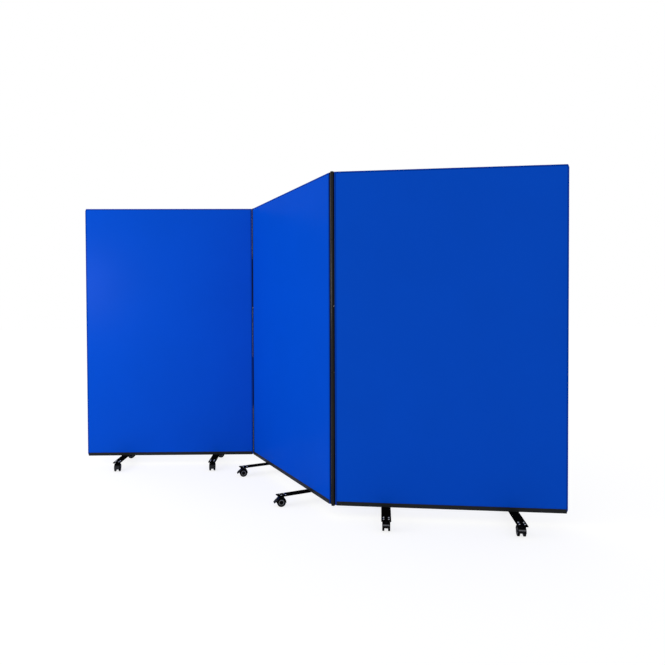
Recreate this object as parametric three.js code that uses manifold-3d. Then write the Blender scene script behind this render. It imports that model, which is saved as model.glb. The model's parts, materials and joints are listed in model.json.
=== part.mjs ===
// Ward privacy screen on wheels: three covered panels in a zigzag, joined by two full-height
// barrel hinges, each panel standing on two cross feet with twin-wheel castors.
// Millimetres, +Z up. +X runs along the left panel and -Y is the front.
import * as THREE from 'three';
import { mergeVertices } from 'three/addons/utils/BufferGeometryUtils.js';
import Module from 'manifold-3d';

const wasm = await Module();
wasm.setup();

// Driving dimensions: panels
const panelWidth = 1200;
const panelHeight = 1790; // underside of the bottom rail to the top edge
const panelThickness = 24;
const coverThickness = 1;
const clipWidth = 6; // clipped corners of a free edge, along the top
const clipHeight = 15; // clipped corners of a free edge, down the side

// Driving dimensions: bottom rail, a U channel over the bottom edge
const railWall = 1.5;
const railHeight = 22;
const railShort = 6; // how far the rail stops short of the panel's edges

// Driving dimensions: hinges
const leftFold = 65; // degrees between the left and middle panels, 0 is in line
const rightFold = 57.4; // degrees between the middle and right panels
const barrelRadius = 10.5;
const leafPlate = 1.7; // thickness of the leaf's plate on the panel's edge
const barrelClearance = 0.5; // barrel to the plate of the other leaf
const leafWidth = 20;
const webThickness = 8;
const tongueThickness = 3; // tongue of the leaf in the board's edge
const tongueDepth = 12;
const tongueShort = 20; // how far the tongue stops short of the board's ends
const hingePinRadius = 4;
const hingePinClearance = 0.1;
const knuckleGap = 0.6;
const knuckleCount = 5;
const capHeight = 4.2;
const capInset = 0.7; // cap's and pin head's rims within the barrel's
const capBoreDepth = 2.4;

// Driving dimensions: feet, each a flat bar with two castor plates
const footInset = 270; // panel edge to the foot's centre line
const footWidth = 50;
const footThickness = 6;
const castorReach = 177; // panel's mid plane to the swivel axis
const footOverhang = 33; // swivel axis to the end of the foot
const plateSize = 38;
const plateThickness = 2.5;
const footBoltRadius = 4;
const footBoltGrip = 40; // how far the bolt reaches into the board
const footBoltHeadRadius = 7.5;
const footBoltHeadHeight = 5;

// Driving dimensions: castors
const wheelRadius = 25;
const wheelWidth = 11;
const wheelGap = 18.4; // between the two wheels
const hubRecess = 1.2; // depth of the dished side of a wheel
const hubRecessRadius = 17;
const axleRadius = 3;
const castorTrail = 10; // swivel axis to axle
const neckShow = 4; // part of the round neck seen between the hood and the plate
const neckDepth = 17; // whole length of the neck
const kingpinRadius = 4;
const kingpinRise = 6; // how far the kingpin on the neck reaches up past the plate's underside
const hoodClearance = 1; // wheel to hood
const hoodWall = 2.2;
const hoodFrontLip = 2; // lower edge of the hood over the axle, at the pedal's side
const hoodRearLip = 3; // lower edge of the hood below the axle, at the swivel's side
const bossRadius = 8; // boss of the hood around the axle
const webClearance = 0.6; // hood's centre web to the wheels' sides

// Driving dimensions: brake pedals. Their points in the castor's side view, (forward, up) from the
// axle, are shares of the hood's outer radius, so that pedal, slot and ear keep round the hood.
const pedalWidth = 31;
const pedalPinRadius = 1.5;
const pedalPinShare = [1.108, 0.168];
const pedalOutlineShares = [[1.08, 0.067], [1.445, -0.119], [1.466, -0.007], [0.94, 0.579], [0.884, 0.544],
  [1, 0.298]];
const pedalSlotShares = [[0.617, -0.126], [1.161, -0.235], [1.249, 0.196], [0.782, 0.677]];
const earOutlineShares = [[0.744, 0.137], [1.115, 0.06], [1.203, 0.105], [1.221, 0.189], [1.157, 0.267],
  [0.786, 0.34]];

// Fits
const seat = 0.3; // gap between pieces that rest on or cut each other
const running = 0.1; // gap round an axle, kingpin or pedal pin
const overrun = 5; // how far a cut runs past what it cuts

// Numbers of sides of round shapes
const wheelSides = 20;
const hoodSides = 20;
const neckSides = 16;
const barrelSides = 16;
const pinSides = 12;

// Heading of each castor in degrees, 0 trails straight out from the panel
const frontHeadings = { left: [7, 4], middle: [-12, -12], right: [180, 180] };
const rearHeadings = { left: [90, -90], middle: [40, -50], right: [0, 0] };

const radians = THREE.MathUtils.degToRad;

// Radius of a polygon's corners when its flats lie at the given radius
const cornerRadius = (flatRadius, sides) => flatRadius / Math.cos(Math.PI / sides);

// Heights and halves worked out from the driving dimensions
const hoodInner = cornerRadius(wheelRadius, wheelSides) + hoodClearance;
const hoodOuter = hoodInner + hoodWall;
const castorHeight = wheelRadius + hoodOuter + neckShow + plateThickness; // floor to the foot's underside
const footTop = castorHeight + footThickness;
const axisOut = barrelRadius + barrelClearance + leafPlate + seat; // panel edge to hinge axis
const capRadius = barrelRadius - capInset;
const railUnder = footTop + seat;
const boardBottom = railUnder + railWall + seat;
const panelTop = railUnder + panelHeight;
const halfWidth = panelWidth / 2;
const halfThick = panelThickness / 2;
const plateUnder = castorHeight - plateThickness;
const halfWheels = wheelGap / 2 + wheelWidth;
const halfWeb = wheelGap / 2 - webClearance;
const footPlaces = [-halfWidth + footInset, halfWidth - footInset];

function toSolid(geometry) {
  geometry.deleteAttribute('normal');
  geometry.deleteAttribute('uv');
  const merged = mergeVertices(geometry);
  const index = merged.index.array;
  const triangles = [];
  for (let i = 0; i < index.length; i += 3) {
    const [a, b, c] = [index[i], index[i + 1], index[i + 2]];
    if (a !== b && b !== c && c !== a) triangles.push(a, b, c);
  }
  const mesh = new wasm.Mesh({
    numProp: 3,
    vertProperties: new Float32Array(merged.attributes.position.array),
    triVerts: new Uint32Array(triangles),
  });
  return new wasm.Manifold(mesh);
}

function toGeometry(solid) {
  const mesh = solid.getMesh();
  const geometry = new THREE.BufferGeometry();
  geometry.setAttribute('position', new THREE.BufferAttribute(new Float32Array(mesh.vertProperties), 3));
  geometry.setIndex(new THREE.BufferAttribute(new Uint32Array(mesh.triVerts), 1));
  geometry.computeVertexNormals();
  return geometry;
}

const union = (solids) => solids.reduce((whole, solid) => whole.add(solid));

// Box between two corners
function block(low, high) {
  const size = high.map((value, i) => value - low[i]);
  const geometry = new THREE.BoxGeometry(...size);
  geometry.translate(...low.map((value, i) => value + size[i] / 2));
  return toSolid(geometry);
}

// Upright round bar from one height to another
function upright(radius, x, y, bottom, top, sides) {
  const geometry = new THREE.CylinderGeometry(radius, radius, top - bottom, sides);
  geometry.rotateX(Math.PI / 2);
  geometry.translate(x, y, (bottom + top) / 2);
  return toSolid(geometry);
}

// Outline extruded over a depth
function extruded(points, depth) {
  const shape = new THREE.Shape(points.map(([x, y]) => new THREE.Vector2(x, y)));
  return new THREE.ExtrudeGeometry(shape, { depth, bevelEnabled: false });
}

// Outline in a panel's front view, given a thickness about the mid plane
function slab(points, halfThickness) {
  const geometry = extruded(points, 2 * halfThickness);
  geometry.rotateX(Math.PI / 2);
  geometry.translate(0, halfThickness, 0);
  return toSolid(geometry);
}

// Outline in a castor's side view, (forward, up) from the axle, given a width along the axle
function sideSlab(points, halfSpan) {
  const geometry = extruded(points.map(([forward, up]) => [-forward, up]).reverse(), 2 * halfSpan);
  geometry.rotateX(Math.PI / 2);
  geometry.rotateZ(Math.PI / 2);
  geometry.translate(-halfSpan, 0, 0);
  return toSolid(geometry);
}

// Round bar along a castor's axle direction, between two distances from the castor's middle
function crossBar(radius, [forward, up], start, end, sides) {
  const geometry = new THREE.CylinderGeometry(radius, radius, end - start, sides);
  geometry.rotateZ(Math.PI / 2);
  geometry.rotateX(Math.PI / sides);
  geometry.translate((start + end) / 2, -forward, up);
  return toSolid(geometry);
}

function piece(name, solid, [color, roughness, metalness]) {
  const material = new THREE.MeshStandardMaterial({ color, roughness, metalness });
  const mesh = new THREE.Mesh(toGeometry(solid), material);
  mesh.name = name;
  return mesh;
}

// Finishes: colour, roughness, metalness
const coverBlue = [0x0a48c6, 0.5, 0];
const boardFill = [0xc9b48c, 0.9, 0];
const railBlack = [0x202224, 0.45, 0.2];
const hingeBlack = [0x1c1e20, 0.35, 0];
const plainSteel = [0x9a9da0, 0.35, 0.9];
const footBlack = [0x101112, 0.4, 0.6];
const castorBlack = [0x141516, 0.4, 0];
const wheelGrey = [0x2a2b2d, 0.6, 0];
const pedalGrey = [0x2c2d30, 0.5, 0];

// Outline of a panel from the front, drawn in by an inset. The ends in the list are free edges
// with clipped corners, -1 is the left end and 1 the right.
function panelOutline(freeEnds, inset, drop) {
  const x = halfWidth - inset;
  const top = panelTop - inset;
  const side = (end) => {
    const clipped = freeEnds.includes(end);
    const heel = clipped ? x - clipWidth : x;
    const points = drop > 0 ? [[heel, boardBottom - drop]] : [];
    points.push([heel, boardBottom]);
    if (clipped) points.push([x, boardBottom + clipHeight], [x, top - clipHeight]);
    points.push([heel, top]);
    return points;
  };
  return [...side(1), ...side(-1).map(([px, pz]) => [-px, pz]).reverse()];
}

// Room for the tongue of a hinge leaf in the edge of a hinged end
function tongueGroove(end) {
  const half = tongueThickness / 2 + seat;
  const inner = halfWidth - tongueDepth - seat;
  const xs = [end * inner, end * (halfWidth + overrun)].sort((a, b) => a - b);
  return block([xs[0], -half, boardBottom + tongueShort - seat],
    [xs[1], half, panelTop - tongueShort + seat]);
}

// Holes for the bolts of a panel's two feet
function boltHoles(bottom, top) {
  const radius = cornerRadius(footBoltRadius + seat, pinSides);
  return union(footPlaces.map((x) => upright(radius, x, 0, bottom, top, pinSides)));
}

function board(freeEnds, hingedEnds) {
  const inset = coverThickness + seat;
  let body = slab(panelOutline(freeEnds, inset, 0), halfThick - inset);
  for (const end of hingedEnds) body = body.subtract(tongueGroove(end));
  return body.subtract(boltHoles(boardBottom - overrun, boardBottom + footBoltGrip + seat));
}

// Cover wrapped over the faces, the top and both side edges, open at the bottom
function cover(freeEnds, hingedEnds) {
  const shell = slab(panelOutline(freeEnds, 0, 0), halfThick);
  const hollow = slab(panelOutline(freeEnds, coverThickness, overrun), halfThick - coverThickness);
  let body = shell.subtract(hollow);
  for (const end of hingedEnds) body = body.subtract(tongueGroove(end));
  return body;
}

function bottomRail() {
  const halfLength = halfWidth - railShort;
  const inner = halfThick + seat;
  const outer = inner + railWall;
  const floor = railUnder + railWall;
  const body = block([-halfLength, -outer, railUnder], [halfLength, outer, railUnder + railHeight]);
  const channel = block([-halfWidth, -inner, floor], [halfWidth, inner, railUnder + railHeight + overrun]);
  return body.subtract(channel).subtract(boltHoles(railUnder - overrun, floor + overrun));
}

// Height range of one knuckle of a hinge, counted from the bottom
function knuckleSpan(index) {
  const pitch = (panelHeight + knuckleGap) / knuckleCount;
  const bottom = railUnder + index * pitch;
  return [bottom, bottom + pitch - knuckleGap];
}

// Hinge leaf in the frame of the hinge axis, its panel on the -X side: an edge plate with a
// tongue in the board and every second knuckle, from the given one up
function hingeLeaf(firstKnuckle) {
  const plateBack = -(axisOut - seat);
  const plateFace = -(barrelRadius + barrelClearance);
  const half = leafWidth / 2;
  const tongueHalf = tongueThickness / 2;
  const solids = [
    block([plateBack, -half, railUnder], [plateFace, half, panelTop]),
    block([-axisOut - tongueDepth, -tongueHalf, boardBottom + tongueShort],
      [plateFace, tongueHalf, panelTop - tongueShort]),
  ];
  for (let index = firstKnuckle; index < knuckleCount; index += 2) {
    const [bottom, top] = knuckleSpan(index);
    solids.push(upright(barrelRadius, 0, 0, bottom, top, barrelSides));
    solids.push(block([plateBack, -webThickness / 2, bottom], [0, webThickness / 2, top]));
  }
  const boreRadius = cornerRadius(hingePinRadius + hingePinClearance, pinSides);
  const bore = upright(boreRadius, 0, 0, railUnder - overrun, panelTop + overrun, pinSides);
  return union(solids).subtract(bore);
}

// Hinge pin with its head under the barrel, standing out at the top into the cap
function hingePin() {
  const headTop = railUnder - seat;
  const head = upright(capRadius, 0, 0, headTop - capHeight, headTop, barrelSides);
  return head.add(upright(hingePinRadius, 0, 0, headTop - seat, panelTop + capBoreDepth, pinSides));
}

function hingeCap() {
  const bottom = panelTop + seat;
  const bore = upright(cornerRadius(hingePinRadius + running, pinSides), 0, 0,
    panelTop, bottom + capBoreDepth, pinSides);
  return upright(capRadius, 0, 0, bottom, bottom + capHeight, barrelSides).subtract(bore);
}

// Flat bar across the panel, with a castor plate near each end and a bore for its kingpin
function foot() {
  const halfLength = castorReach + footOverhang;
  const half = plateSize / 2;
  let body = block([-footWidth / 2, -halfLength, castorHeight], [footWidth / 2, halfLength, footTop]);
  const kingpinRoom = cornerRadius(kingpinRadius + running, pinSides);
  for (const y of [-castorReach, castorReach]) {
    body = body.add(block([-half, y - half, plateUnder], [half, y + half, castorHeight]))
      .subtract(upright(kingpinRoom, 0, y, plateUnder - overrun, plateUnder + kingpinRise + seat, pinSides));
  }
  const boltRadius = cornerRadius(footBoltRadius + seat, pinSides);
  return body.subtract(upright(boltRadius, 0, 0, castorHeight - overrun, footTop + overrun, pinSides));
}

// Bolt up through a foot and the rail into the board
function footBolt() {
  const headTop = castorHeight - seat;
  const head = upright(footBoltHeadRadius, 0, 0, headTop - footBoltHeadHeight, headTop, pinSides);
  return head.add(upright(footBoltRadius, 0, 0, headTop, boardBottom + footBoltGrip, pinSides));
}

// Castor pieces are drawn with the axle at the origin, then moved to it: the swivel axis is Z,
// forward is -Y and the axle is parallel to X
const toAxle = (solid) => solid.translate([0, -castorTrail, wheelRadius]);
const axlePlace = [0, 0];

// What is cut off below the hood's lower edge
function belowHood() {
  const reach = hoodOuter + overrun;
  return sideSlab([[-reach, -reach], [reach, -reach], [reach, hoodFrontLip], [0, hoodFrontLip],
    [0, -hoodRearLip], [-reach, -hoodRearLip]], halfWheels + overrun);
}

// Points given in shares of the hood's outer radius
const roundHood = (shares) => shares.map(([forward, up]) => [forward * hoodOuter, up * hoodOuter]);
const [pedalPin] = roundHood([pedalPinShare]);

// Ear of the hood that carries the brake pedal's pin
function pedalEar() {
  const radius = cornerRadius(pedalPinRadius + running, pinSides);
  return sideSlab(roundHood(earOutlineShares), halfWeb)
    .subtract(crossBar(radius, pedalPin, -halfWheels, halfWheels, pinSides));
}

function castorHood(braked) {
  const inner = cornerRadius(hoodInner, hoodSides);
  const outer = cornerRadius(hoodOuter, hoodSides);
  let body = crossBar(outer, axlePlace, -halfWheels, halfWheels, hoodSides)
    .subtract(crossBar(inner, axlePlace, halfWeb, halfWheels + overrun, hoodSides))
    .subtract(crossBar(inner, axlePlace, -halfWheels - overrun, -halfWeb, hoodSides))
    .subtract(belowHood())
    .add(crossBar(bossRadius, axlePlace, -halfWeb, halfWeb, hoodSides));
  if (braked) body = body.add(pedalEar());
  const axleRoom = cornerRadius(axleRadius + running, pinSides);
  const axleBore = crossBar(axleRoom, axlePlace, -halfWheels, halfWheels, pinSides);
  const neckTop = plateUnder - seat;
  const neck = upright(halfWeb, 0, 0, neckTop - neckDepth, neckTop, neckSides);
  const kingpin = upright(kingpinRadius, 0, 0, neckTop - seat, plateUnder + kingpinRise, pinSides);
  return toAxle(body.subtract(axleBore)).add(neck).add(kingpin);
}

// Two wheels on one axle, turned about X, with a flat of each on the floor
function wheelPair() {
  const rim = cornerRadius(wheelRadius, wheelSides);
  const inner = wheelGap / 2;
  const half = [[0, halfWheels - hubRecess], [hubRecessRadius, halfWheels - hubRecess],
    [hubRecessRadius + hubRecess, halfWheels], [rim, halfWheels], [rim, inner], [axleRadius, inner]];
  const outline = [...half.map(([r, x]) => [r, -x]), ...half.reverse()];
  const profile = outline.map(([r, x]) => new THREE.Vector2(r, x));
  const geometry = new THREE.LatheGeometry(profile, wheelSides);
  geometry.rotateZ(Math.PI / 2);
  geometry.rotateX(Math.PI / wheelSides);
  return toAxle(toSolid(geometry));
}

function brakePedal() {
  const slotHalf = halfWeb + webClearance;
  const pin = crossBar(pedalPinRadius, pedalPin, -slotHalf - seat, slotHalf + seat, pinSides);
  const slot = sideSlab(roundHood(pedalSlotShares), slotHalf);
  return toAxle(sideSlab(roundHood(pedalOutlineShares), pedalWidth / 2).subtract(slot).add(pin));
}

// One castor of a panel, turned about its swivel axis
function castor(name, x, y, heading, braked) {
  const group = new THREE.Group();
  group.position.set(x, y, 0);
  group.rotation.z = radians((y < 0 ? 0 : 180) + heading);
  group.add(piece(`${name}_hood`, castorHood(braked), castorBlack));
  group.add(piece(`${name}_wheels`, wheelPair(), wheelGrey));
  if (braked) group.add(piece(`${name}_brake_pedal`, brakePedal(), pedalGrey));
  return group;
}

// Piece turned about the hinge axis at one end of a panel
function atHinge(mesh, end) {
  mesh.position.x = end * (halfWidth + axisOut);
  mesh.rotation.z = end < 0 ? Math.PI : 0;
  return mesh;
}

// Piece standing under a panel at the given place along it
function alongPanel(mesh, x) {
  mesh.position.x = x;
  return mesh;
}

const sideName = (end) => (end < 0 ? 'left' : 'right');

function panel(name, hingedEnds, firstKnuckle) {
  const freeEnds = [-1, 1].filter((end) => !hingedEnds.includes(end));
  const group = new THREE.Group();
  group.add(piece(`${name}_board`, board(freeEnds, hingedEnds), boardFill));
  group.add(piece(`${name}_cover`, cover(freeEnds, hingedEnds), coverBlue));
  group.add(piece(`${name}_bottom_rail`, bottomRail(), railBlack));
  footPlaces.forEach((x, i) => {
    group.add(alongPanel(piece(`${name}_foot_${i + 1}`, foot(), footBlack), x));
    group.add(alongPanel(piece(`${name}_foot_bolt_${i + 1}`, footBolt(), plainSteel), x));
    group.add(castor(`${name}_front_castor_${i + 1}`, x, -castorReach, frontHeadings[name][i], true));
    group.add(castor(`${name}_rear_castor_${i + 1}`, x, castorReach, rearHeadings[name][i], false));
  });
  for (const end of hingedEnds) {
    const leaf = piece(`${name}_hinge_leaf_${sideName(end)}`, hingeLeaf(firstKnuckle), hingeBlack);
    group.add(atHinge(leaf, end));
  }
  return group;
}

// Middle panel, which also carries the pins and caps of both hinges
function middlePanel() {
  const group = panel('middle', [-1, 1], 0);
  for (const end of [-1, 1]) {
    group.add(atHinge(piece(`hinge_pin_${sideName(end)}`, hingePin(), plainSteel), end));
    group.add(atHinge(piece(`hinge_cap_${sideName(end)}`, hingeCap(), hingeBlack), end));
  }
  return group;
}

// Directions of the panels seen from above, and the middles of the panels
const middleTurn = -radians(leftFold);
const rightTurn = middleTurn + radians(rightFold);
const along = (turn) => new THREE.Vector3(Math.cos(turn), Math.sin(turn), 0);
const reach = (turn) => along(turn).multiplyScalar(halfWidth + axisOut);
const middleCentre = reach(0).add(reach(middleTurn));
const rightCentre = middleCentre.clone().add(reach(middleTurn)).add(reach(rightTurn));

function place(group, centre, turn) {
  group.position.copy(centre);
  group.rotation.z = turn;
  return group;
}

const screen = new THREE.Group();
screen.add(panel('left', [1], 1));
screen.add(place(middlePanel(), middleCentre, middleTurn));
screen.add(place(panel('right', [-1], 1), rightCentre, rightTurn));

// The origin is on the floor, under the middle of the standing screen
screen.updateMatrixWorld(true);
const middle = new THREE.Box3().setFromObject(screen, true).getCenter(new THREE.Vector3());
screen.position.set(-middle.x, -middle.y, 0);

export default screen;
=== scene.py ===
"""Looks of a folding ward privacy screen: coated covers, hinges, rails, feet and castors."""
import json
import math

import bmesh
import bpy
from mathutils import Matrix, Vector


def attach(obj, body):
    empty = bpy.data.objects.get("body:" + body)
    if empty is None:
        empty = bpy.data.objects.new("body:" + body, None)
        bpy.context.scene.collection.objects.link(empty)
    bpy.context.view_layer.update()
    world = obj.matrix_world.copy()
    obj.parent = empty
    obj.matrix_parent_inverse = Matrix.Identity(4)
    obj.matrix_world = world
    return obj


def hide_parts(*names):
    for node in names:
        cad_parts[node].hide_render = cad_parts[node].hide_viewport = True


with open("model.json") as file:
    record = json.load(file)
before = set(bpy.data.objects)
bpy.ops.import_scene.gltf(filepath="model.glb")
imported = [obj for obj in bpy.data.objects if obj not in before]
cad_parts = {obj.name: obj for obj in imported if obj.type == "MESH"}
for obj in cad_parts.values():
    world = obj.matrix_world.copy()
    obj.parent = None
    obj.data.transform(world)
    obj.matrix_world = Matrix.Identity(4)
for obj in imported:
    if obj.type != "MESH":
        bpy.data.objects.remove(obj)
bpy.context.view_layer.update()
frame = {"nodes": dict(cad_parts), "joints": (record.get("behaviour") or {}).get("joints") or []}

bl_info = {
    "name": "Ward privacy screen",
    "version": (1, 0, 0),
    "blender": (4, 5, 0),
    "location": "3D View > Sidebar > Screen",
    "description": "Builds the covers, hinges, rails, feet and castors of a folding screen",
    "category": "Object",
}

MM = 0.001
METRE = 1000  # in millimetres
JOINTS = {joint["name"]: joint for joint in frame["joints"]}
PANELS = ("left", "middle", "right")
# Ends of each panel that no hinge joins, as signs of the panel's own X
FREE_ENDS = {"left": (-1,), "middle": (), "right": (1,)}
# The fold that places each panel, and the side of its axis on which the panel's middle lies
FOLDS = {"left": ("left_fold", -1), "middle": ("left_fold", 1), "right": ("right_fold", 1)}
# Directions of the panels seen from above
TURNS = {"left": 0.0, "middle": math.radians(-65.0), "right": math.radians(-7.6)}
# Heights of the panels' rails, covers and tops over the floor
RAIL_UNDER = 66.3 * MM
COVER_BOTTOM = 68.1 * MM
PANEL_TOP = 1856.3 * MM
# Gap that keeps the solids of neighbouring parts from touching
REST_GAP = 0.3 * MM
# Points this close are one point, and heights this close are the same, in metres
SAME_POINT = 0.00002
SAME_HEIGHT = 1e-6
SHARP_ANGLE = math.radians(40)


def srgb(code):
    """Linear colour of an sRGB hex value."""
    channels = [int(code[i:i + 2], 16) / 255 for i in (1, 3, 5)]
    return [c / 12.92 if c <= 0.04045 else ((c + 0.055) / 1.055) ** 2.4 for c in channels]


def length(title, millimetres, words):
    return bpy.props.FloatProperty(name=title, description=words, default=millimetres * MM,
                                   min=0.0, unit="LENGTH", precision=4)


def colour(title, code, words):
    return bpy.props.FloatVectorProperty(name=title, description=words, default=srgb(code),
                                         size=3, min=0.0, max=1.0, subtype="COLOR")


class WardScreenSizes(bpy.types.PropertyGroup):
    """Sizes of the screen's panels, hinges, feet and castors."""
    panel_width: length("Panel width", 1200, "Width of one covered panel")
    panel_thickness: length("Panel thickness", 24, "Thickness over the covers")
    clip_width: length("Corner clip width", 6, "Clipped corner of a free edge, along the top")
    clip_height: length("Corner clip height", 15, "Clipped corner of a free edge, down the side")
    cover_cloth: length("Cover cloth", 1, "Thickness of the coated fabric")
    cover_edge: length("Cover edge radius", 1.6, "Rounding of the cover over the board's edges")
    edging_width: length("Edging width", 7, "Darker edging round the panel's faces")
    rail_height: length("Rail height", 22, "Height of the bottom rail")
    rail_wall: length("Rail wall", 1.5, "Wall of the bottom rail")
    rail_short: length("Rail shortfall", 6, "How far the rail stops short of the panel's edges")
    axis_out: length("Hinge axis offset", 13, "Panel edge to hinge axis")
    barrel_radius: length("Barrel radius", 10.5, "Outer radius of the hinge barrel")
    foot_inset: length("Foot inset", 270, "Panel edge to the foot's centre line")
    foot_width: length("Foot width", 50, "Width of the flat bar")
    castor_reach: length("Castor reach", 177, "Panel's mid plane to the swivel axis")
    foot_overhang: length("Foot overhang", 33, "Swivel axis to the end of the foot")
    wheel_radius: length("Wheel radius", 25, "Radius of a castor wheel")
    castor_trail: length("Castor trail", 10, "Swivel axis to axle")


class WardScreenColours(bpy.types.PropertyGroup):
    """Colours of the screen's finishes."""
    cover: colour("Cover", "#024DCC", "Coated fabric of the covers")
    edging: colour("Edging", "#043BA5", "Darker edging of the covers")
    rail: colour("Rail", "#1E2022", "Bottom rails")
    hinge: colour("Hinge", "#070708", "Hinge leaves, pins and caps")
    foot: colour("Foot", "#070707", "Flat bars of the feet")
    hood: colour("Castor hood", "#08080A", "Castor housings")
    tread: colour("Tread", "#030303", "Wheel treads")
    ring: colour("Wheel ring", "#77787A", "Raised rings on the wheels' faces")
    # Grey of the painted highlight on the castor hoods' front shoulders
    strip: colour("Hood strip", "#6E6F73", "Strips across the fronts of the castor hoods")
    pedal: colour("Pedal", "#2B2C2E", "Brake pedals")
    floor: colour("Floor", "#F2F2F2", "Studio floor")


def add(tree, kind, **inputs):
    """Add one shader node, and set or link its inputs."""
    node = tree.nodes.new(kind)
    for key, value in inputs.items():
        socket = node.inputs[key.replace("_", " ")]
        if isinstance(value, bpy.types.NodeSocket):
            tree.links.new(value, socket)
        else:
            socket.default_value = value
    return node


def blank_material(name, base, roughness, metallic=0.0, specular=0.5):
    """A material with one plain shader, and its tree, shader and position."""
    material = bpy.data.materials.new(name)
    material.use_nodes = True
    tree = material.node_tree
    shader = tree.nodes["Principled BSDF"]
    shader.inputs["Base Color"].default_value = (*base, 1.0)
    shader.inputs["Roughness"].default_value = roughness
    shader.inputs["Metallic"].default_value = metallic
    shader.inputs["Specular IOR Level"].default_value = specular
    place = add(tree, "ShaderNodeTexCoord").outputs["Object"]
    return material, tree, shader, place


def mottle(tree, shader, place, base, millimetres, spread):
    """Let the base colour wander a little darker and lighter over the given size."""
    noise = add(tree, "ShaderNodeTexNoise", Vector=place, Scale=METRE / millimetres, Detail=3.0)
    ramp = add(tree, "ShaderNodeValToRGB", Fac=noise.outputs["Fac"])
    darker, lighter = ramp.color_ramp.elements
    for element, share, position in ((darker, 1 - spread, 0.35), (lighter, 1 + spread, 0.65)):
        element.color = (*[min(1.0, c * share) for c in base], 1.0)
        element.position = position
    tree.links.new(ramp.outputs["Color"], shader.inputs["Base Color"])


def rough_range(tree, shader, place, millimetres, low, high):
    """Let the roughness wander between two values over the given size."""
    noise = add(tree, "ShaderNodeTexNoise", Vector=place, Scale=METRE / millimetres, Detail=2.0)
    between = add(tree, "ShaderNodeMapRange", Value=noise.outputs["Fac"],
                  From_Min=0.3, From_Max=0.7, To_Min=low, To_Max=high)
    tree.links.new(between.outputs["Result"], shader.inputs["Roughness"])


def grain(tree, shader, place, millimetres, depth):
    """Bumps of the given size and depth, both in millimetres."""
    noise = add(tree, "ShaderNodeTexNoise", Vector=place, Scale=METRE / millimetres, Detail=2.0)
    bump = add(tree, "ShaderNodeBump", Strength=1.0, Distance=depth * MM,
               Height=noise.outputs["Fac"])
    tree.links.new(bump.outputs["Normal"], shader.inputs["Normal"])


def coated_fabric(base):
    """Vinyl-coated polyester: matt dyed film over cloth, glossy only on the crowns of its grain."""
    material, tree, shader, place = blank_material("vinyl_coated_polyester", base,
                                                   roughness=0.5, specular=0.0)
    shader.inputs["Coat Weight"].default_value = 0.06
    shader.inputs["Coat Roughness"].default_value = 0.3
    mottle(tree, shader, place, base, millimetres=350, spread=0.015)
    rough_range(tree, shader, place, millimetres=200, low=0.46, high=0.54)
    # The film's own grain is about 0.5 mm. It is drawn at 2 mm so that it shows at all.
    fine = add(tree, "ShaderNodeTexNoise", Vector=place, Scale=METRE / 2, Detail=2.0)
    # Cloth stretched by hand over a board stays a little wavy over about a hand's width, 160 mm
    wide = add(tree, "ShaderNodeTexNoise", Vector=place, Scale=METRE / 160, Detail=1.0)
    waves = add(tree, "ShaderNodeBump", Strength=1.0, Distance=0.5 * MM,
                Height=wide.outputs["Fac"])
    bump = add(tree, "ShaderNodeBump", Strength=1.0, Distance=0.03 * MM,
               Height=fine.outputs["Fac"], Normal=waves.outputs["Normal"])
    tree.links.new(bump.outputs["Normal"], shader.inputs["Normal"])
    return material


def edging_vinyl(base):
    """Edging of the same vinyl, pressed flat by a welding bar, so darker and smoother."""
    material, tree, shader, place = blank_material("pressed_vinyl_edging", base,
                                                   roughness=0.45, specular=0.0)
    rough_range(tree, shader, place, millimetres=30, low=0.35, high=0.48)
    grain(tree, shader, place, millimetres=3, depth=0.05)
    return material


def painted_steel(name, base, roughness, peel, specular):
    """Powder-coated steel: even colour with a fine orange peel of about 1.5 mm."""
    material, tree, shader, place = blank_material(name, base, roughness, specular=specular)
    mottle(tree, shader, place, base, millimetres=60, spread=0.08)
    rough_range(tree, shader, place, millimetres=25, low=roughness - 0.06, high=roughness + 0.08)
    grain(tree, shader, place, millimetres=1.5, depth=peel)
    return material


def moulded_plastic(name, base, roughness, specular=0.1):
    """Moulded polyamide or ABS: solid colour, satin skin with a fine spark-eroded texture."""
    material, tree, shader, place = blank_material(name, base, roughness, specular=specular)
    mottle(tree, shader, place, base, millimetres=20, spread=0.06)
    rough_range(tree, shader, place, millimetres=10, low=roughness - 0.05, high=roughness + 0.07)
    grain(tree, shader, place, millimetres=0.8, depth=0.03)
    return material


def zinc_plate():
    """Bright zinc-plated steel: cool grey metal, a little cloudy where the plating varies."""
    base = srgb("#C9CCCE")
    material, tree, shader, place = blank_material("bright_zinc_plate", base,
                                                   roughness=0.3, metallic=1.0)
    mottle(tree, shader, place, base, millimetres=4, spread=0.08)
    rough_range(tree, shader, place, millimetres=3, low=0.35, high=0.5)
    return material


def chipboard():
    """Raw chipboard core: pale wood flakes of about 4 mm, dull."""
    material, tree, shader, place = blank_material("raw_chipboard", srgb("#C2A679"),
                                                   roughness=0.85, specular=0.3)
    flakes = add(tree, "ShaderNodeTexVoronoi", Vector=place, Scale=METRE / 4)
    ramp = add(tree, "ShaderNodeValToRGB", Fac=flakes.outputs["Color"])
    for element, code in zip(ramp.color_ramp.elements, ("#A88A5C", "#D6BC90")):
        element.color = (*srgb(code), 1)
    tree.links.new(ramp.outputs["Color"], shader.inputs["Base Color"])
    grain(tree, shader, place, millimetres=3, depth=0.15)
    return material


MADE = {}


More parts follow.
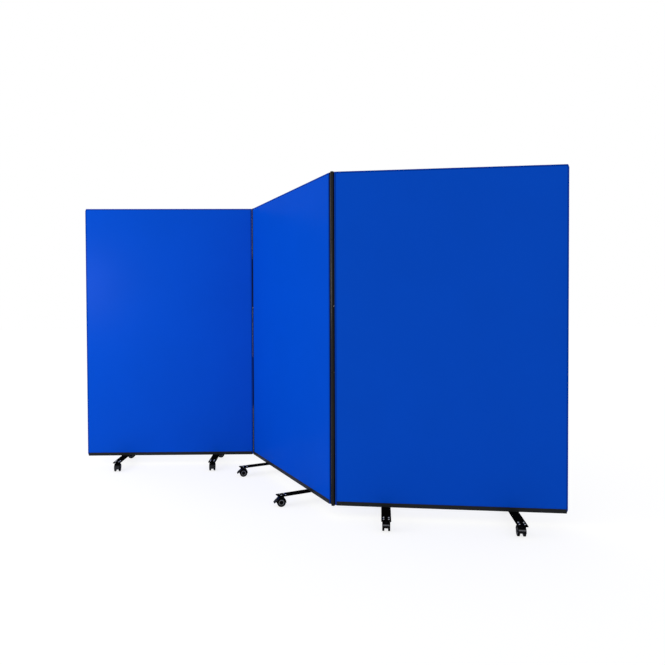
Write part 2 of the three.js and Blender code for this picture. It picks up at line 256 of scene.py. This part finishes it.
def finish_named(name):
    """One shared material for each finish, made the first time it is asked for."""
    if name not in MADE:
        colours = bpy.context.scene.ward_screen_colours
        makers = {
            "cover": lambda: coated_fabric(colours.cover),
            "edging": lambda: edging_vinyl(colours.edging),
            "rail": lambda: painted_steel("black_coated_rail", colours.rail,
                                          roughness=0.42, peel=0.02, specular=0.15),
            "hinge": lambda: moulded_plastic("black_extruded_hinge_profile", colours.hinge,
                                             roughness=0.2, specular=0.28),
            "foot": lambda: painted_steel("black_powder_coated_bar", colours.foot,
                                          roughness=0.6, peel=0.03, specular=0.0),
            "hood": lambda: moulded_plastic("black_moulded_polyamide", colours.hood,
                                            roughness=0.4),
            "tread": lambda: moulded_plastic("black_polyurethane_tread", colours.tread,
                                             roughness=0.6, specular=0.03),
            # Painted highlight, laid on the black hoods as a grey band
            "strip": lambda: moulded_plastic("grey_moulded_strip", colours.strip,
                                             roughness=0.45),
            "ring": lambda: moulded_plastic("grey_moulded_wheel_ring", colours.ring,
                                            roughness=0.42),
            "pedal": lambda: moulded_plastic("grey_moulded_pedal", colours.pedal,
                                             roughness=0.45),
            "zinc": zinc_plate,
            "chipboard": chipboard,
        }
        MADE[name] = makers[name]()
    return MADE[name]


def panel_place(name):
    """A panel's own frame: X along it from its middle, -Y its front, Z up from the floor."""
    sizes = bpy.context.scene.ward_screen_sizes
    reach = sizes.panel_width / 2 + sizes.axis_out
    hinge, side = FOLDS[name]
    axis = Vector(JOINTS[hinge]["pos_m"][:2] + [0.0])
    turn = Matrix.Rotation(TURNS[name], 4, "Z")
    return Matrix.Translation(axis) @ turn @ Matrix.Translation((side * reach, 0, 0))


def castor_place(name):
    """A castor's own frame: Z its swivel axis from the floor, X along the axle, -Y behind."""
    x, y = JOINTS[f"{name}_swivel"]["pos_m"][:2]
    axle = JOINTS[f"{name}_roll"]["axis"]
    return Matrix.Translation((x, y, 0)) @ Matrix.Rotation(math.atan2(axle[1], axle[0]), 4, "Z")


def castor_names(rows=("front", "rear")):
    return [f"{panel}_{row}_castor_{i}" for panel in PANELS for row in rows for i in (1, 2)]


def box(mesh, low, high):
    """A box between two corners. Returns its vertices."""
    low, high = Vector(low), Vector(high)
    made = bmesh.ops.create_cube(mesh, size=1)["verts"]
    bmesh.ops.scale(mesh, vec=high - low, verts=made)
    bmesh.ops.translate(mesh, vec=(low + high) / 2, verts=made)
    return made


def soften(mesh, edges, radius, segments=2):
    """Round the edges."""
    bmesh.ops.bevel(mesh, geom=list(edges), offset=radius, segments=segments, affect="EDGES",
                    profile=0.5, material=-1, clamp_overlap=True)


def edges_of(verts):
    """Every edge that lies between the given vertices."""
    chosen = set(verts)
    return list({edge for vert in verts for edge in vert.link_edges
                 if edge.other_vert(vert) in chosen})


def soft_box(mesh, low, high, radius):
    """A box between two corners with rounded edges."""
    soften(mesh, edges_of(box(mesh, low, high)), radius)


def prism(mesh, outline, axis, start, end, radius=0.0):
    """An outline of points pushed along an axis from start to end, with softened edges."""
    verts = [mesh.verts.new(Vector(point)) for point in outline]
    face = mesh.faces.new(verts)
    bmesh.ops.translate(mesh, vec=Vector(axis) * start, verts=verts)
    pushed = bmesh.ops.extrude_face_region(mesh, geom=[face], use_keep_orig=True)["geom"]
    new = [item for item in pushed if isinstance(item, bmesh.types.BMVert)]
    bmesh.ops.translate(mesh, vec=Vector(axis) * (end - start), verts=new)
    if radius:
        soften(mesh, edges_of(verts + new), radius)


def side_prism(mesh, outline, start, end, radius=0.0):
    """A castor's side outline of (behind, up) from the axle, pushed along it. In millimetres."""
    points = [(0, -behind * MM, up * MM) for behind, up in outline]
    prism(mesh, points, (1, 0, 0), start * MM, end * MM, radius * MM)


def arc(radius, start, end, steps):
    """Points on a circle from one angle to another."""
    return [(radius * math.cos(angle), radius * math.sin(angle))
            for angle in (start + (end - start) * i / steps for i in range(steps + 1))]


def in_metres(profile):
    return [(radius * MM, height * MM) for radius, height in profile]


def turned(mesh, profile, steps, centre=(0, 0, 0), axis=(0, 0, 1), across=(1, 0, 0)):
    """A profile of (radius, height) spun about an axis. Across is where its radius points."""
    axis, across, centre = Vector(axis), Vector(across), Vector(centre)
    verts = [mesh.verts.new(centre + across * radius + axis * height)
             for radius, height in profile]
    edges = [mesh.edges.new(pair) for pair in zip(verts, verts[1:])]
    bmesh.ops.spin(mesh, geom=verts + edges, cent=centre, axis=axis, angle=math.tau, steps=steps,
                   use_merge=True, use_duplicate=False)


def to_castor(mesh, sizes):
    """Move a mesh drawn round the axle into the castor's own frame."""
    bmesh.ops.translate(mesh, vec=(0, -sizes.castor_trail, sizes.wheel_radius), verts=mesh.verts)


def put(mesh, name, place, body, nodes, finishes, wall=0.0):
    """Turn a finished mesh into a piece in its place, riding on a body."""
    bmesh.ops.remove_doubles(mesh, verts=mesh.verts, dist=SAME_POINT)
    bmesh.ops.recalc_face_normals(mesh, faces=mesh.faces)
    bmesh.ops.transform(mesh, matrix=place, verts=mesh.verts)
    data = bpy.data.meshes.new(name)
    mesh.to_mesh(data)
    mesh.free()
    piece = bpy.data.objects.new(name, data)
    bpy.context.scene.collection.objects.link(piece)
    for finish in finishes:
        data.materials.append(finish_named(finish))
    data.shade_smooth()
    data.set_sharp_from_angle(angle=SHARP_ANGLE)
    if wall:
        shell = piece.modifiers.new("Wall", "SOLIDIFY")
        shell.thickness = wall
        shell.offset = -1
    # Wide faces stay flat beside their small rounded edges
    piece.modifiers.new("Flat faces", "WEIGHTED_NORMAL").keep_sharp = True
    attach(piece, body)
    if nodes:
        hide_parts(*nodes)
    return piece


def dress_node(node, finish):
    """Give a CAD node a finish."""
    piece = frame["nodes"][node]
    piece.data.materials.clear()
    piece.data.materials.append(finish_named(finish))


def panel_outline(sizes, ends, bottom):
    """Front view of a panel with its free ends' corners clipped, from the bottom right round."""
    x = sizes.panel_width / 2

    def side(end):
        if end not in ends:
            return [(x, bottom), (x, PANEL_TOP)]
        near = x - sizes.clip_width
        return [(near, bottom), (x, bottom + sizes.clip_height),
                (x, PANEL_TOP - sizes.clip_height), (near, PANEL_TOP)]

    return side(1) + [(-px, pz) for px, pz in reversed(side(-1))]


class WARD_OT_covers(bpy.types.Operator):
    """Wrap each panel in its coated cover, with the darker edging round its rim"""
    bl_idname = "ward_screen.covers"
    bl_label = "Covers"

    # Slope from the edging down to the face inside it
    step_width = 0.8 * MM
    step_depth = 0.2 * MM
    # The front and back are the only faces of more than this, in square metres
    wide_area = 1
    face_slot, edging_slot = 0, 1

    def execute(self, context):
        sizes = context.scene.ward_screen_sizes
        half = sizes.panel_thickness / 2
        for name in PANELS:
            mesh = bmesh.new()
            outline = panel_outline(sizes, FREE_ENDS[name], COVER_BOTTOM)
            prism(mesh, [(x, 0, z) for x, z in outline], (0, 1, 0), -half, half)
            self.open_bottom(mesh)
            bmesh.ops.recalc_face_normals(mesh, faces=mesh.faces)
            soften(mesh, [e for e in mesh.edges if not e.is_boundary], sizes.cover_edge,
                   segments=3)
            self.edge_faces(mesh, sizes)
            piece = put(mesh, f"{name}_cover_cloth", panel_place(name), f"{name}_panel",
                        [f"{name}_cover"], ["cover", "edging"], sizes.cover_cloth)
        return {"FINISHED"}

    def open_bottom(self, mesh):
        """Open the cover downwards, where the rail is."""
        bottom = [face for face in mesh.faces
                  if all(abs(vert.co.z - COVER_BOTTOM) < SAME_HEIGHT for vert in face.verts)]
        bmesh.ops.delete(mesh, geom=bottom, context="FACES_ONLY")

    def edge_faces(self, mesh, sizes):
        """Make the edging a flat border. Inside it the face lies a little lower."""
        for face in mesh.faces:
            face.material_index = self.edging_slot
        for face in [f for f in mesh.faces if f.calc_area() > self.wide_area]:
            bmesh.ops.inset_region(mesh, faces=[face], thickness=sizes.edging_width,
                                   use_even_offset=True)
            bmesh.ops.inset_region(mesh, faces=[face], thickness=self.step_width,
                                   depth=-self.step_depth, use_even_offset=True)
            face.material_index = self.face_slot


class WARD_OT_rails(bpy.types.Operator):
    """Put the black channel on each panel's bottom edge and finish the boards"""
    bl_idname = "ward_screen.rails"
    bl_label = "Rails"

    edge_radius = 0.35 * MM

    def execute(self, context):
        sizes = context.scene.ward_screen_sizes
        section = self.channel(sizes)
        half = sizes.panel_width / 2 - sizes.rail_short
        for name in PANELS:
            mesh = bmesh.new()
            prism(mesh, [(0, y, z) for y, z in section], (1, 0, 0), -half, half, self.edge_radius)
            put(mesh, f"{name}_bottom_channel", panel_place(name), f"{name}_panel",
                [f"{name}_bottom_rail"], ["rail"])
            dress_node(f"{name}_board", "chipboard")
        return {"FINISHED"}

    def channel(self, sizes):
        """The rail's U section, open at the top."""
        inner = sizes.panel_thickness / 2 + REST_GAP
        outer = inner + sizes.rail_wall
        floor, top = RAIL_UNDER + sizes.rail_wall, RAIL_UNDER + sizes.rail_height
        return [(-outer, RAIL_UNDER), (outer, RAIL_UNDER), (outer, top), (inner, top),
                (inner, floor), (-inner, floor), (-inner, top), (-outer, top)]


class WARD_OT_hinges(bpy.types.Operator):
    """Build the hinge leaves, knuckles, pins and caps"""
    bl_idname = "ward_screen.hinges"
    bl_label = "Hinges"

    # Panel, end of the panel and number of the leaf's first knuckle
    leaves = (("left", 1, 1), ("middle", -1, 0), ("middle", 1, 0), ("right", -1, 1))
    knuckles = 5
    knuckle_gap = 0.6 * MM
    leaf_half = 10 * MM
    leaf_round = 0.5 * MM
    # Gap between the leaf's flat part and the barrel
    barrel_gap = 0.5 * MM
    bore = 4.3 * MM
    chamfer = 0.7 * MM
    # Web between leaf and knuckle: half its thickness, and its reach outside and into the barrel
    web_half = 4 * MM
    web_out = 0.7 * MM
    web_in = 1.2 * MM
    # Cap's height over the panel, and its radii with their drop below its top, in millimetres
    cap_height = 4.5 * MM
    cap_dome = [(0, 0), (6, 0.2), (8.6, 0.9), (9.8, 2.2)]

    def execute(self, context):
        sizes = context.scene.ward_screen_sizes
        for name, end, first in self.leaves:
            self.leaf(sizes, name, end, first)
        for end, side in ((-1, "left"), (1, "right")):
            self.cap(sizes, end, side)
            dress_node(f"hinge_pin_{side}", "hinge")
        return {"FINISHED"}

    def place(self, sizes, name, end):
        """The hinge axis at one end of a panel, with the panel on the -X side."""
        out = end * (sizes.panel_width / 2 + sizes.axis_out)
        turn = Matrix.Rotation(0 if end > 0 else math.pi, 4, "Z")
        return panel_place(name) @ Matrix.Translation((out, 0, 0)) @ turn

    def leaf(self, sizes, name, end, first):
        mesh = bmesh.new()
        radius, back = sizes.barrel_radius, -(sizes.axis_out - REST_GAP)
        soft_box(mesh, (back, -self.leaf_half, RAIL_UNDER),
                 (-radius - self.barrel_gap, self.leaf_half, PANEL_TOP), self.leaf_round)
        pitch = (PANEL_TOP - RAIL_UNDER + self.knuckle_gap) / self.knuckles
        for index in range(first, self.knuckles, 2):
            low = RAIL_UNDER + index * pitch
            self.knuckle(mesh, radius, low, low + pitch - self.knuckle_gap)
        side = "left" if end < 0 else "right"
        put(mesh, f"{name}_{side}_leaf", self.place(sizes, name, end), f"{name}_panel",
            [f"{name}_hinge_leaf_{side}"], ["hinge"])

    def knuckle(self, mesh, radius, low, high):
        """One length of the barrel, with the web that holds it to the leaf."""
        narrow = radius - self.chamfer
        ring = [(self.bore, low), (narrow, low), (radius, low + self.chamfer),
                (radius, high - self.chamfer), (narrow, high), (self.bore, high), (self.bore, low)]
        turned(mesh, ring, steps=32)
        box(mesh, (-radius - self.web_out, -self.web_half, low),
            (-radius + self.web_in, self.web_half, high))

    def cap(self, sizes, end, side):
        mesh = bmesh.new()
        low, high = PANEL_TOP + REST_GAP, PANEL_TOP + self.cap_height
        dome = [(radius * MM, high - drop * MM) for radius, drop in self.cap_dome]
        rim = dome[-1][0]
        turned(mesh, dome + [(rim, low), (0, low)], steps=32)
        put(mesh, f"{side}_hinge_end_cap", self.place(sizes, "middle", end), "middle_panel",
            [f"hinge_cap_{side}"], ["hinge"])


class WARD_OT_feet(bpy.types.Operator):
    """Build the flat feet with their castor plates, and the screws on them"""
    bl_idname = "ward_screen.feet"
    bl_label = "Feet"

    # Underside and top of the flat bar and of the castor plates over the floor
    bar_low, bar_high, bar_round = 60 * MM, 66 * MM, 0.9 * MM
    plate_low, plate_high, plate_round = 57.5 * MM, 59.98 * MM, 0.6 * MM
    plate_half = 19 * MM
    # Castor plate's middle to each screw, along and across the foot
    screw_out = 13 * MM
    # Radius and height over the floor of the domed head and its socket, in millimetres
    screw_head = [(0, 67.9), (1.3, 67.9), (1.5, 69.0), (2.4, 68.7), (3.2, 67.9), (3.8, 66.7),
                  (3.9, 66.0), (0, 66.0)]

    def execute(self, context):
        sizes = context.scene.ward_screen_sizes
        for name in PANELS:
            for index, sign in ((1, -1), (2, 1)):
                along = sign * (sizes.panel_width / 2 - sizes.foot_inset)
                place = panel_place(name) @ Matrix.Translation((along, 0, 0))
                self.bar(sizes, name, index, place)
                self.screws(sizes, name, index, place)
                dress_node(f"{name}_foot_bolt_{index}", "zinc")
        return {"FINISHED"}

    def bar(self, sizes, name, index, place):
        mesh = bmesh.new()
        half, reach = sizes.foot_width / 2, sizes.castor_reach + sizes.foot_overhang
        soft_box(mesh, (-half, -reach, self.bar_low), (half, reach, self.bar_high), self.bar_round)
        plate = self.plate_half
        for y in (-sizes.castor_reach, sizes.castor_reach):
            soft_box(mesh, (-plate, y - plate, self.plate_low),
                     (plate, y + plate, self.plate_high), self.plate_round)
        put(mesh, f"{name}_foot_bar_{index}", place, f"{name}_panel",
            [f"{name}_foot_{index}"], ["foot"])

    def screws(self, sizes, name, index, place):
        """Eight domed heads with a socket, four over each castor plate."""
        mesh = bmesh.new()
        out = self.screw_out
        for y in (-sizes.castor_reach, sizes.castor_reach):
            for dx in (-out, out):
                for dy in (-out, out):
                    turned(mesh, in_metres(self.screw_head), steps=12, centre=(dx, y + dy, 0))
        put(mesh, f"{name}_castor_screws_{index}", place, f"{name}_panel", [], ["zinc"])


class WARD_OT_castor_hoods(bpy.types.Operator):
    """Build the hooded housings of the castors"""
    bl_idname = "ward_screen.castor_hoods"
    bl_label = "Castor hoods"

    # All in millimetres. Outline of the ear that carries the pedal's pin
    ear = [(21.2, 3.9), (31.8, 1.7), (34.3, 3.0), (34.8, 5.4), (33.0, 7.6), (22.4, 9.7)]
    # Radius of the hood, and its wall's section of (radius, distance from the castor's middle)
    radius = 28.5
    wall = [(26.4, -20.2), (27.4, -20.2), (28.4, -19.1), (28.5, -10), (28.5, 10), (28.4, 19.1),
            (27.4, 20.2), (26.4, 20.2)]
    # How far the rear lip is over the axle, and the front lip under it
    rear_lip, front_lip = 2, 3
    # Half width and radius of the web, and the axle boss's radius with its arc in degrees
    web_half, web_radius = 8.6, 27
    boss_radius, boss_start, boss_end = 8, 202, 374.5
    # Painted highlight, a grey band on the hood's front shoulder: inner and outer radius, arc in
    # degrees from behind, and half width
    strip_inner, strip_outer = 28.2, 29.1
    strip_start, strip_end = 149, 161
    strip_half = 17
    # Profiles of (radius, height over the floor)
    neck = [(0, 40), (8.6, 40), (8.6, 53.0), (8.0, 53.6), (0, 53.6)]
    collar = [(0, 53.4), (6.8, 53.4), (7.4, 54.0), (7.4, 55.6), (6.4, 56.2), (6.4, 57.2), (0, 57.2)]
    strip_slot = 1

    def execute(self, context):
        sizes = context.scene.ward_screen_sizes
        for name in castor_names():
            mesh = bmesh.new()
            self.shell(mesh)
            self.web(mesh)
            if "_front_" in name:
                side_prism(mesh, self.ear, -self.web_half, self.web_half, radius=0.4)
            # Painted highlight: a grey band on the hood's front shoulder
            self.strip(mesh)
            to_castor(mesh, sizes)
            turned(mesh, in_metres(self.neck), steps=24)
            put(mesh, f"{name}_housing", castor_place(name), name,
                [f"{name}_hood"], ["hood", "strip"])
            # Bright collar of the swivel between the neck and the plate on the foot
            mesh = bmesh.new()
            turned(mesh, in_metres(self.collar), steps=24)
            put(mesh, f"{name}_collar", castor_place(name), name, [], ["zinc"])
        return {"FINISHED"}

    def lips(self, radius):
        """Angles from straight behind, over the top, at which a hood of this radius ends."""
        return math.asin(self.rear_lip / radius), math.pi + math.asin(self.front_lip / radius)

    def shell(self, mesh):
        """Hood over both treads, from its rear lip over the top to its front lip."""
        start, end = self.lips(self.radius)
        out = Vector((0, -math.cos(start), math.sin(start)))
        verts = [mesh.verts.new(out * (radius * MM) + Vector((x * MM, 0, 0)))
                 for radius, x in self.wall]
        face = mesh.faces.new(verts)
        made = bmesh.ops.spin(mesh, geom=[face], cent=(0, 0, 0), axis=(-1, 0, 0),
                              angle=end - start, steps=28, use_merge=False, use_duplicate=False)
        if not made["geom_last"]:
            raise RuntimeError("the castor hood could not be spun")

    def web(self, mesh):
        """Centre web with the boss round the axle."""
        start, end = self.lips(self.web_radius)
        outline = arc(self.web_radius, start, end, steps=24)
        outline += arc(self.boss_radius, math.radians(self.boss_start),
                       math.radians(self.boss_end), steps=14)
        side_prism(mesh, outline, -self.web_half, self.web_half, radius=0.3)

    def strip(self, mesh):
        """Painted highlight: a grey band across the front of the hood, where its shoulder would
        catch the light.
        """
        start, end = math.radians(self.strip_start), math.radians(self.strip_end)
        outline = arc(self.strip_outer, start, end, steps=4)
        outline += reversed(arc(self.strip_inner, start, end, steps=4))
        before = set(mesh.faces)
        side_prism(mesh, outline, -self.strip_half, self.strip_half, radius=0.3)
        for face in set(mesh.faces) - before:
            face.material_index = self.strip_slot


class WARD_OT_wheels(bpy.types.Operator):
    """Turn the twin wheels of each castor with their axle"""
    bl_idname = "ward_screen.wheels"
    bl_label = "Wheels"

    # Radius and distance from the castor's middle, from the outer centre round the tread to the
    # axle, in millimetres, drawn for a wheel of this radius
    drawn_radius = 25
    wheel = [(0, 19.9), (4.5, 19.8), (5.6, 19.3), (6.2, 18.4), (12.0, 18.4), (12.6, 19.3),
             (14.8, 19.3), (15.4, 18.6), (16.6, 19.4), (17.6, 20.0), (22.8, 20.2), (24.4, 19.7),
             (25, 18.5), (25, 10.9), (24.4, 9.7), (22.8, 9.2), (3, 9.2)]
    # The raised ring's faces have their middle between these radii, in millimetres
    ring_inner, ring_outer = 11.9, 15.5

    def execute(self, context):
        sizes = context.scene.ward_screen_sizes
        scale = sizes.wheel_radius / self.drawn_radius
        both = self.wheel + [(radius, -x) for radius, x in reversed(self.wheel)]
        profile = [(radius * scale, x * MM) for radius, x in both]
        for name in castor_names():
            mesh = bmesh.new()
            turned(mesh, profile, steps=48, axis=(1, 0, 0), across=(0, 0, 1))
            bmesh.ops.remove_doubles(mesh, verts=mesh.verts, dist=SAME_POINT)
            for face in mesh.faces:
                centre = face.calc_center_median()
                radius = math.hypot(centre.y, centre.z) / MM
                face.material_index = int(self.ring_inner < radius < self.ring_outer)
            to_castor(mesh, sizes)
            put(mesh, f"{name}_twin_wheels", castor_place(name), f"{name}_wheel_set",
                [f"{name}_wheels"], ["tread", "ring"])
        return {"FINISHED"}


class WARD_OT_pedals(bpy.types.Operator):
    """Build the brake pedals of the front castors"""
    bl_idname = "ward_screen.pedals"
    bl_label = "Brake pedals"

    # Side outlines in millimetres. The pedal's top slopes from high to low
    high, low = (26.8, 16.5), (41.8, -0.2)
    cheek = [(30.8, 1.9), (41.2, -3.4), low, high, (25.2, 15.5), (28.5, 8.5)]
    pad = [(34.45, 0.05), (41.2, -3.4), low, high, (25.69, 15.81), (35.6, 5.6)]
    # Distances of the cheeks' sides and of the pad's and the ribs' ends from the castor's middle
    cheek_inner, cheek_outer = 9.2, 15.5
    pad_half = 9.6
    rib_half = 13
    # Section of a grip rib about its place on the top
    rib = [(-0.8, 0.5), (0.35, -0.8), (0.85, -0.3), (-0.3, 1.0)]
    ribs = 5
    # The first rib's place and the ribs' spacing, as shares of the top's length
    first_rib, rib_pitch = 0.3, 0.14

    def execute(self, context):
        sizes = context.scene.ward_screen_sizes
        for name in castor_names(rows=("front",)):
            mesh = bmesh.new()
            side_prism(mesh, self.cheek, -self.cheek_outer, -self.cheek_inner, radius=0.5)
            side_prism(mesh, self.cheek, self.cheek_inner, self.cheek_outer, radius=0.5)
            side_prism(mesh, self.pad, -self.pad_half, self.pad_half)
            self.grip(mesh)
            to_castor(mesh, sizes)
            put(mesh, f"{name}_pedal_pad", castor_place(name), f"{name}_pedal",
                [f"{name}_brake_pedal"], ["pedal"])
        return {"FINISHED"}

    def grip(self, mesh):
        """Ribs across the pedal's top."""
        for step in range(self.ribs):
            share = self.first_rib + self.rib_pitch * step
            behind, up = (high + (low - high) * share for high, low in zip(self.high, self.low))
            side_prism(mesh, [(behind + b, up + u) for b, u in self.rib],
                       -self.rib_half, self.rib_half)


class WARD_OT_stage(bpy.types.Operator):
    """Lay the pale floor, the soft lamps and the camera"""
    bl_idname = "ward_screen.stage"
    bl_label = "Stage"

    floor_half = 30
    # To the camera the floor glows nearly white and takes this little light from the lamps
    floor_glow = 0.79
    floor_faint = 0.3
    # World's strength on the object, and as the background where 1 is white
    world_light, world_seen = 0.74, 1.0
    # Size, power, place and aim of each soft lamp, in metres and watts
    lamps = (("left_softbox", 0.6, 11, (-2.25, -1.27, 1.38), (-0.8, 0.4, 1.2)),
             ("side_softbox", 1.5, 20, (-3.4, -0.6, 1.7), (0.0, 0.1, 1.1)))
    # Camera from the perspective fit of the panels' corners: millimetres, metres and degrees
    sensor, lens = 36, 30.93
    shift = (0.0274, -0.0171)
    camera_place = (0.11342, -3.56241, 1.11785)
    camera_turn = (88.9118, 0.249, -0.9797)

    def execute(self, context):
        self.floor(context)
        self.world(context)
        for lamp in self.lamps:
            self.lamp(context, *lamp)
        self.camera(context)
        return {"FINISHED"}

    def floor(self, context):
        mesh = bmesh.new()
        bmesh.ops.create_grid(mesh, x_segments=1, y_segments=1, size=self.floor_half)
        data = bpy.data.meshes.new("studio_floor")
        mesh.to_mesh(data)
        mesh.free()
        piece = bpy.data.objects.new("studio_floor", data)
        context.scene.collection.objects.link(piece)
        data.materials.append(self.floor_material(context.scene.ward_screen_colours.floor))

    def floor_material(self, base):
        """Matt floor that lights the object as it is, and shows the camera only its shadows."""
        material = bpy.data.materials.new("white_studio_floor")
        material.use_nodes = True
        tree = material.node_tree
        tree.nodes.clear()
        faint, white = (self.floor_faint,) * 3, (1.0,) * 3
        lit = add(tree, "ShaderNodeBsdfDiffuse", Color=(*base, 1.0))
        dim = add(tree, "ShaderNodeBsdfDiffuse", Color=(*faint, 1.0))
        glow = add(tree, "ShaderNodeEmission", Color=(*white, 1.0), Strength=self.floor_glow)
        seen = tree.nodes.new("ShaderNodeAddShader")
        tree.links.new(dim.outputs[0], seen.inputs[0])
        tree.links.new(glow.outputs[0], seen.inputs[1])
        mix = tree.nodes.new("ShaderNodeMixShader")
        by_camera = add(tree, "ShaderNodeLightPath").outputs["Is Camera Ray"]
        for socket, output in zip(mix.inputs, (by_camera, lit.outputs[0], seen.outputs[0])):
            tree.links.new(output, socket)
        add(tree, "ShaderNodeOutputMaterial", Surface=mix.outputs[0])
        return material

    def world(self, context):
        world = bpy.data.worlds.new("white_studio")
        context.scene.world = world
        world.use_nodes = True
        tree = world.node_tree
        tree.nodes.clear()
        by_camera = add(tree, "ShaderNodeLightPath").outputs["Is Camera Ray"]
        strength = add(tree, "ShaderNodeMapRange", Value=by_camera, To_Min=self.world_light,
                       To_Max=self.world_seen).outputs["Result"]
        light = add(tree, "ShaderNodeBackground", Color=(1.0, 1.0, 1.0, 1.0), Strength=strength)
        add(tree, "ShaderNodeOutputWorld", Surface=light.outputs[0])

    def lamp(self, context, name, size, watts, place, aim):
        light = bpy.data.lights.new(name, "AREA")
        light.shape = "SQUARE"
        light.size = size
        light.energy = watts
        lamp = bpy.data.objects.new(name, light)
        context.scene.collection.objects.link(lamp)
        lamp.location = place
        lamp.visible_camera = False
        lamp.rotation_euler = (Vector(aim) - Vector(place)).to_track_quat("-Z", "Y").to_euler()

    def camera(self, context):
        data = bpy.data.cameras.new("camera")
        data.sensor_width = self.sensor
        data.lens = self.lens
        data.shift_x, data.shift_y = self.shift
        camera = bpy.data.objects.new("camera", data)
        context.scene.collection.objects.link(camera)
        camera.location = self.camera_place
        camera.rotation_euler = [math.radians(angle) for angle in self.camera_turn]
        context.scene.camera = camera
        context.scene.view_settings.view_transform = "Standard"


STEPS = (WARD_OT_covers, WARD_OT_rails, WARD_OT_hinges, WARD_OT_feet, WARD_OT_castor_hoods,
         WARD_OT_wheels, WARD_OT_pedals, WARD_OT_stage)


class WARD_PT_panel(bpy.types.Panel):
    """Lists the screen's steps"""
    bl_idname = "WARD_PT_panel"
    bl_label = "Ward privacy screen"
    bl_space_type = "VIEW_3D"
    bl_region_type = "UI"
    bl_category = "Screen"

    def draw(self, context):
        for step in STEPS:
            self.layout.operator(step.bl_idname)
        for group in (context.scene.ward_screen_sizes, context.scene.ward_screen_colours):
            for name in group.__annotations__:
                self.layout.prop(group, name)


CLASSES = (WardScreenSizes, WardScreenColours, *STEPS, WARD_PT_panel)


def register():
    for cls in CLASSES:
        bpy.utils.register_class(cls)
    bpy.types.Scene.ward_screen_sizes = bpy.props.PointerProperty(type=WardScreenSizes)
    bpy.types.Scene.ward_screen_colours = bpy.props.PointerProperty(type=WardScreenColours)


def unregister():
    del bpy.types.Scene.ward_screen_colours
    del bpy.types.Scene.ward_screen_sizes
    for cls in reversed(CLASSES):
        bpy.utils.unregister_class(cls)


def main():
    register()
    bpy.ops.ward_screen.covers()
    bpy.ops.ward_screen.rails()
    bpy.ops.ward_screen.hinges()
    bpy.ops.ward_screen.feet()
    bpy.ops.ward_screen.castor_hoods()
    bpy.ops.ward_screen.wheels()
    bpy.ops.ward_screen.pedals()
    bpy.ops.ward_screen.stage()


if __name__ == "__main__":
    main()
